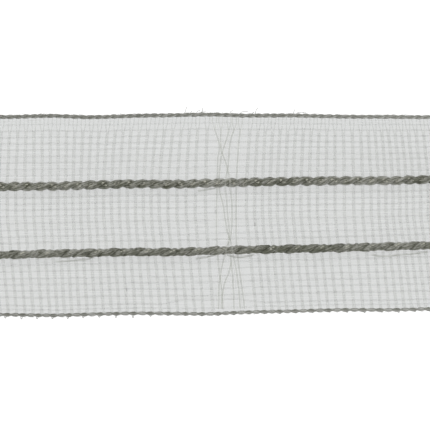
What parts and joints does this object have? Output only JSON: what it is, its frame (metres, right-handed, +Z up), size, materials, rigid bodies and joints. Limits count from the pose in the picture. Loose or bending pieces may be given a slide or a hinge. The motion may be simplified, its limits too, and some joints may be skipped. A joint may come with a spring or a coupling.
{
  "type": "roman blind tape, flat cut length",
  "caption": "Sheer woven mesh tape lying flat, with twisted grey draw cords along it and a fine corded edge on each side, for gathering or stiffening a blind heading.",
  "frame": {"origin": "middle of the underside, the face that is sewn against the blind", "axes": "+X along the tape, +Y across it towards its top edge, +Z up out of the cord side"},
  "size_m": [0.07, 0.0252, 0.0018],
  "materials": {
    "mesh_yarn": "sheer woven mesh of clear fine polyester yarn",
    "draw_cord": "matt grey-olive twisted polyester cord",
    "edge_cord": "matt grey fine twisted edge cord"
  },
  "bodies": {
    "root": {"mesh_ground": "mesh_yarn", "draw_cord_upper": "draw_cord", "draw_cord_lower": "draw_cord", "edge_cord_top": "edge_cord", "edge_cord_bottom": "edge_cord"}
  },
  "joints": []
}
